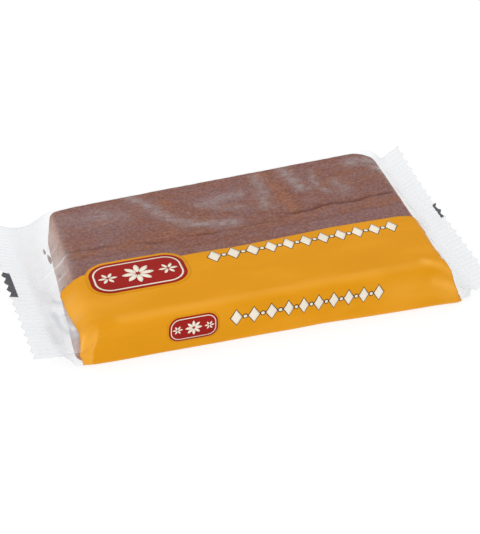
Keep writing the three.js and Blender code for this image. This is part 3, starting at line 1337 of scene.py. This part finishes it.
def painted_band_sheen(x, girth):
    """How much painted highlight the band takes: in soft strips and spots and on its pressed corner."""
    facet_highlight = FACET_HIGHLIGHT.strength * smooth(x, FACET_HIGHLIGHT.edge + FACET_HIGHLIGHT.crispness, FACET_HIGHLIGHT.edge)
    facet_highlight *= smooth(x, FACET_HIGHLIGHT.fade, FACET_HIGHLIGHT.edge)
    facet_highlight *= smooth(girth, FACET_HIGHLIGHT.top, FACET_HIGHLIGHT.top - FACET_HIGHLIGHT.top_fade)
    return strokes(x, girth, BAND_HIGHLIGHT_STRIPS) + spots(x, girth, BAND_HIGHLIGHT_SPOTS) + facet_highlight


class BISCUIT_OT_band(bpy.types.Operator):
    """Print the golden band over the film's front half"""
    bl_idname = "biscuit.band"
    bl_label = "Band"

    def execute(self, context):
        inks = context.scene.biscuit_pack.print
        bm = bmesh.new()
        bmesh.ops.create_grid(bm, x_segments=BAND_CELLS[0], y_segments=BAND_CELLS[1], size=0.5)
        x, girth = band_places(bm)
        note_layers(bm, {"sheen": painted_band_sheen(x, girth)})
        for vert, place in zip(bm.verts, zip(x, girth)):
            vert.co = Vector((*place, 0))
        finish = ink_finish("gold_ink", inks.gold, 0.93, inks.sheen)
        printed("print_band", bm, lift_of(0), finish)
        return {"FINISHED"}


def rounded_plate(bm, middle, size, radius, step=0.8 * MM):
    """A flat plate with round corners, made of small cells so that it can bend."""
    cells = [max(2, round(side / step)) for side in size]
    plate = bmesh.ops.create_grid(bm, x_segments=cells[0], y_segments=cells[1], size=0.5)["verts"]
    core = [side / 2 - radius for side in size]
    for vert in plate:
        spot = [vert.co[axis] * size[axis] for axis in range(2)]
        base = [math.copysign(min(abs(spot[axis]), core[axis]), spot[axis]) for axis in range(2)]
        out = [spot[axis] - base[axis] for axis in range(2)]
        length = math.hypot(*out)
        pull = max(abs(out[0]), abs(out[1])) / length if length > 0 else 1
        place = [middle[axis] + base[axis] + out[axis] * pull for axis in range(2)]
        vert.co = Vector((*place, 0))


def disc(bm, sides, radius):
    return bmesh.ops.create_circle(
        bm, cap_ends=True, cap_tris=True, segments=sides, radius=radius
    )["verts"]


def petal(bm, middle, size, turn=0.0, sides=16):
    """A flat leaf with two points."""
    leaf = disc(bm, sides, 0.5)
    for vert in leaf:
        vert.co.y *= size[1] * (1 - (2 * abs(vert.co.x)) ** 3 * 0.35)
        vert.co.x *= size[0]
    bmesh.ops.rotate(bm, verts=leaf, matrix=Matrix.Rotation(turn, 3, "Z"))
    bmesh.ops.translate(bm, verts=leaf, vec=(*middle, 0))


def spice_star(bm, middle, radius, points=8):
    """A star of leaves, like a star-shaped spice pod."""
    for number in range(points):
        turn = math.tau * number / points
        reach = radius * 0.56
        spot = (middle[0] + reach * math.cos(turn), middle[1] + reach * math.sin(turn))
        petal(bm, spot, (radius * 0.84, radius * 0.34), turn)


def lozenge(bm, middle, size):
    """A flat lozenge, cut into cells so that it can bend."""
    cells = bmesh.ops.create_grid(bm, x_segments=4, y_segments=4, size=0.5)["verts"]
    bmesh.ops.rotate(bm, verts=cells, matrix=Matrix.Rotation(math.pi / 4, 3, "Z"))
    bmesh.ops.scale(bm, verts=cells, vec=(size[0] / math.sqrt(2), size[1] / math.sqrt(2), 1))
    bmesh.ops.translate(bm, verts=cells, vec=(*middle, 0))


def dot(bm, middle, radius):
    bmesh.ops.translate(bm, verts=disc(bm, 14, radius), vec=(*middle, 0))


def badges():
    """The two badges: one over the band's upper edge and one on the pack's front."""
    top_x = -56 * MM
    side_x = -40.5 * MM
    return (
        Badge((top_x, round_to(-17.8 * MM, top_x)), (46 * MM, 27 * MM)),
        Badge((side_x, 2.4 * MM), (22.5 * MM, 13.5 * MM)),
    )


BADGE_ROUND = 0.4           # corner radius as a share of a badge's height
BADGE_LAYERS = (
    # name, how far inside the badge's edge as a share of its height, ink
    ("badge_rims", 0.0, "gold"),
    ("badge_fields", 0.06, "red"),
    ("badge_lines", 0.12, "cream"),
    ("badge_centres", 0.15, "red"),
)
STAR = 0.27                 # a badge's middle star and side stars, as shares of its height
SIDE_STAR = 0.16
SIDE_STAR_AWAY = 0.5        # how far the side stars stand from the middle


class BISCUIT_OT_badges(bpy.types.Operator):
    """Print the red badges with their cream spice stars"""
    bl_idname = "biscuit.badges"
    bl_label = "Badges"

    def execute(self, context):
        inks = context.scene.biscuit_pack.print
        for layer, (name, inset, ink) in enumerate(BADGE_LAYERS, start=1):
            bm = bmesh.new()
            for badge in badges():
                height = badge.size[1]
                size = [side - 2 * inset * height for side in badge.size]
                rounded_plate(bm, badge.middle, size, (BADGE_ROUND - inset) * height)
            finish = ink_finish(name + "_ink", getattr(inks, ink), 0.8)
            printed(name, bm, lift_of(layer), finish)
        bm = bmesh.new()
        for badge in badges():
            height = badge.size[1]
            spice_star(bm, badge.middle, height * STAR)
            for side in (-1, 1):
                middle = (badge.middle[0] + side * height * SIDE_STAR_AWAY, badge.middle[1])
                spice_star(bm, middle, height * SIDE_STAR, points=6)
        lift = lift_of(len(BADGE_LAYERS) + 1)
        printed("badge_stars", bm, lift, ink_finish("star_ink", inks.cream, 0.9))
        return {"FINISHED"}


FRONT_ROW_HEIGHT = 0.82     # a lozenge in the front row against one in the upper row
FRONT_ROW_PITCH = 0.861
ORNAMENT_EDGE = 0.45 * MM   # how far the dark edges stand out round the lozenges and dots
LOZENGE_WIDTH = 0.66        # against its height
DOT = 0.11                  # radius of the dots between lozenges, against a lozenge's height


def upper_row_round(x):
    """How far round the film the upper row lies, which nears the slab's front to the right."""
    return round_to(-16.2 * MM - 0.03 * x, x)


def front_row_round(x):
    """How far round the film the front row lies, a little above the middle of the slab's front."""
    return 3.4 * MM


def ornament_rows(inks):
    """The rows of lozenges: one on the slab's top, by the band's edge, and one on its front."""
    pitch = inks.lozenge_pitch
    height = inks.lozenge_height
    return (
        Row(-20.5 * MM, 11, pitch, height, upper_row_round),
        Row(-22 * MM, 10, pitch * FRONT_ROW_PITCH, height * FRONT_ROW_HEIGHT, front_row_round),
    )


def draw_rows(bm, inks, grow):
    """The rows' lozenges and the dots between them, larger by grow all round."""
    for row in ornament_rows(inks):
        for number in range(row.count):
            x = row.start + number * row.pitch
            size = (row.height * LOZENGE_WIDTH + 2 * grow, row.height + 2 * grow)
            lozenge(bm, (x, row.round_at(x)), size)
            if number < row.count - 1:
                between = x + row.pitch / 2
                dot(bm, (between, row.round_at(between)), row.height * DOT + grow)


class BISCUIT_OT_ornaments(bpy.types.Operator):
    """Print the rows of cream lozenges with their dark edges"""
    bl_idname = "biscuit.ornaments"
    bl_label = "Ornaments"

    def execute(self, context):
        inks = context.scene.biscuit_pack.print
        layers = (
            ("ornament_edges", ORNAMENT_EDGE, inks.dark),
            ("ornaments", 0, inks.cream),
        )
        for layer, (name, grow, colour) in enumerate(layers, start=1):
            bm = bmesh.new()
            draw_rows(bm, inks, grow)
            finish = ink_finish(name + "_ink", colour, 0.88)
            printed(name, bm, lift_of(layer), finish)
        return {"FINISHED"}


def fin_mark(bm, end, across, depth):
    """A dark oblong on a fin's upper face, along its cut between two shares of the fin's width."""
    girths = [share * half_girth(end.side * end.reach) for share in across]
    middle = (end.side * (end.reach - depth / 2), sum(girths) / 2)
    rounded_plate(bm, middle, (depth, girths[1] - girths[0]), 0.2 * MM, step=0.4 * MM)


class BISCUIT_OT_marks(bpy.types.Operator):
    """Print the dark marks that guide the wrapping machine on both fins"""
    bl_idname = "biscuit.marks"
    bl_label = "Marks"

    def execute(self, context):
        inks = context.scene.biscuit_pack.print
        bm = bmesh.new()
        fin_mark(bm, LEFT, (0.42, 0.6), 4 * MM)
        fin_mark(bm, RIGHT, (0.48, 0.58), 2.5 * MM)
        printed("fin_marks", bm, INK, ink_finish("mark_ink", inks.grey, 0.6))
        return {"FINISHED"}


# The stage.


def area_light(name, place, size, power):
    lamp = bpy.data.lights.new(name, "AREA")
    lamp.shape = "RECTANGLE"
    lamp.size, lamp.size_y = size
    lamp.energy = power
    thing = bpy.data.objects.new(name, lamp)
    thing.location = place
    thing.rotation_euler = (-Vector(place)).to_track_quat("-Z", "Y").to_euler()
    bpy.context.scene.collection.objects.link(thing)


def floor_finish():
    """A pale, evenly lit floor, which is all but white and still takes a soft shadow."""
    finish = Finish("pale_floor")
    matt = finish.node("BsdfDiffuse", {}, {"Color": (0.25, 0.25, 0.25, 1)})
    glow = finish.node("Emission", {}, {"Color": (1, 1, 1, 1), "Strength": 0.78})
    return finish.done(finish.node("AddShader", {}, {0: matt, 1: glow}))


def studio_world(strength):
    """Even white light from all round."""
    world = bpy.data.worlds.new("studio")
    world.use_nodes = True
    sky = world.node_tree.nodes["Background"]
    sky.inputs["Color"].default_value = (1.0, 1.0, 1.0, 1)
    sky.inputs["Strength"].default_value = strength
    return world


def photo_camera(stage):
    """The camera, where the photo's stood."""
    camera = bpy.data.cameras.new("camera")
    camera.lens = stage.lens
    camera.sensor_width = 36
    thing = bpy.data.objects.new("camera", camera)
    back = Vector((
        math.sin(stage.azimuth) * math.cos(stage.elevation),
        -math.cos(stage.azimuth) * math.cos(stage.elevation),
        math.sin(stage.elevation),
    ))
    thing.location = Vector(stage.place) + MIDDLE
    thing.rotation_euler = (-back).to_track_quat("-Z", "Y").to_euler()
    bpy.context.scene.collection.objects.link(thing)
    return thing


class BISCUIT_OT_stage(bpy.types.Operator):
    """Set the pale floor, the soft studio light and the camera"""
    bl_idname = "biscuit.stage"
    bl_label = "Stage"

    def execute(self, context):
        stage = context.scene.biscuit_pack.stage
        bm = bmesh.new()
        bmesh.ops.create_grid(bm, x_segments=1, y_segments=1, size=3)
        floor = link("floor", mesh_of("floor", bm))
        floor.data.materials.append(floor_finish())
        context.scene.world = studio_world(stage.sky)
        area_light("softbox", place=(-0.25, 0.1, 0.9), size=(0.9, 0.9), power=stage.softbox)
        area_light("front_fill", place=(-0.3, -0.9, 0.25), size=(0.8, 0.4), power=stage.fill)
        context.scene.camera = photo_camera(stage)
        context.scene.view_settings.view_transform = "Standard"
        return {"FINISHED"}


OPERATORS = (
    BISCUIT_OT_stage, BISCUIT_OT_slab, BISCUIT_OT_film, BISCUIT_OT_crumbs, BISCUIT_OT_band,
    BISCUIT_OT_badges, BISCUIT_OT_ornaments, BISCUIT_OT_marks,
)


class BISCUIT_PT_panel(bpy.types.Panel):
    bl_idname = "BISCUIT_PT_panel"
    bl_label = "Wrapped biscuit"
    bl_space_type = "VIEW_3D"
    bl_region_type = "UI"
    bl_category = "Biscuit"

    def draw(self, context):
        for operator in OPERATORS:
            self.layout.operator(operator.bl_idname)
        settings = context.scene.biscuit_pack
        for group in (settings.biscuit, settings.film, settings.print, settings.stage):
            box = self.layout.box()
            for name in group.__annotations__:
                box.prop(group, name)


CLASSES = (
    BiscuitSettings, FilmSettings, PrintSettings, StageSettings, PackSettings, *OPERATORS,
    BISCUIT_PT_panel,
)


def register():
    for cls in CLASSES:
        bpy.utils.register_class(cls)
    bpy.types.Scene.biscuit_pack = PointerProperty(type=PackSettings)


def unregister():
    del bpy.types.Scene.biscuit_pack
    for cls in reversed(CLASSES):
        bpy.utils.unregister_class(cls)


def main():
    register()
    for operator in OPERATORS:
        group, name = operator.bl_idname.split(".")
        getattr(getattr(bpy.ops, group), name)()


def corners(box):
    return [[float(value) for value in corner] for corner in box]


if __name__ == "__main__":
    main()
